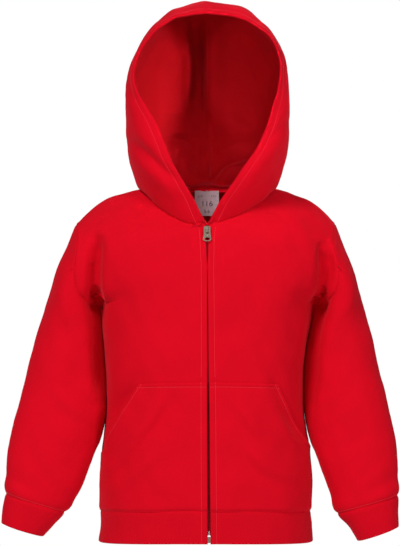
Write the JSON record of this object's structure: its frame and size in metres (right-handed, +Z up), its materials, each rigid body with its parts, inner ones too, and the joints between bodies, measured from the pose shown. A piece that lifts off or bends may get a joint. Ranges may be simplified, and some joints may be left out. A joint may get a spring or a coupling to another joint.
{
  "type": "hooded zip jacket",
  "caption": "Child's hooded sweat jacket, filled out and hollow, with a full-length front zip, slanted pouch pockets, doubled hood, cuffs and waistband.",
  "frame": {"origin": "midway between the shoulders, at the height of the neck's high points, inside the neck opening", "axes": "+Z up the wearer's body, the front faces -Y, the wearer's left is +X"},
  "size_m": [0.5364, 0.2289, 0.733],
  "materials": {
    "front_right": "matt brushed-back sweat cloth",
    "front_left": "matt brushed-back sweat cloth",
    "back": "matt brushed-back sweat cloth",
    "sleeve_right": "matt brushed-back sweat cloth",
    "sleeve_left": "matt brushed-back sweat cloth",
    "cuff_right": "matt brushed-back sweat cloth",
    "cuff_left": "matt brushed-back sweat cloth",
    "waistband": "matt brushed-back sweat cloth",
    "pocket_right": "matt brushed-back sweat cloth",
    "pocket_left": "matt brushed-back sweat cloth",
    "hood_right": "matt brushed-back sweat cloth",
    "hood_left": "matt brushed-back sweat cloth",
    "hood_lining_right": "matt cloth",
    "hood_lining_left": "matt cloth",
    "neck_tape": "matt cloth",
    "neck_label": "woven satin",
    "zip_tape_right": "matt cloth",
    "zip_tape_left": "matt cloth",
    "zip_slider": "nickel-plated, softly polished",
    "zip_pull": "nickel-plated, softly polished",
    "zip_box": "nickel-plated, softly polished"
  },
  "bodies": {
    "garment": {"front_right": "front_right", "front_left": "front_left", "back": "back", "sleeve_right": "sleeve_right", "sleeve_left": "sleeve_left", "cuff_right": "cuff_right", "cuff_left": "cuff_left", "waistband": "waistband", "pocket_right": "pocket_right", "pocket_left": "pocket_left", "hood_right": "hood_right", "hood_left": "hood_left", "hood_lining_right": "hood_lining_right", "hood_lining_left": "hood_lining_left", "neck_tape": "neck_tape", "neck_label": "neck_label", "zip_tape_right": "zip_tape_right", "zip_tape_left": "zip_tape_left", "zip_slider": "zip_slider", "zip_box": "zip_box"},
    "pull": {"zip_pull": "zip_pull"}
  },
  "joints": [
    {"name": "pull_tab", "type": "hinge", "parent": "garment", "child": "pull", "pos_m": [0.00001, -0.07441, -0.05364], "axis": [-1, 0, 0], "range_deg": [0, 120]}
  ]
}
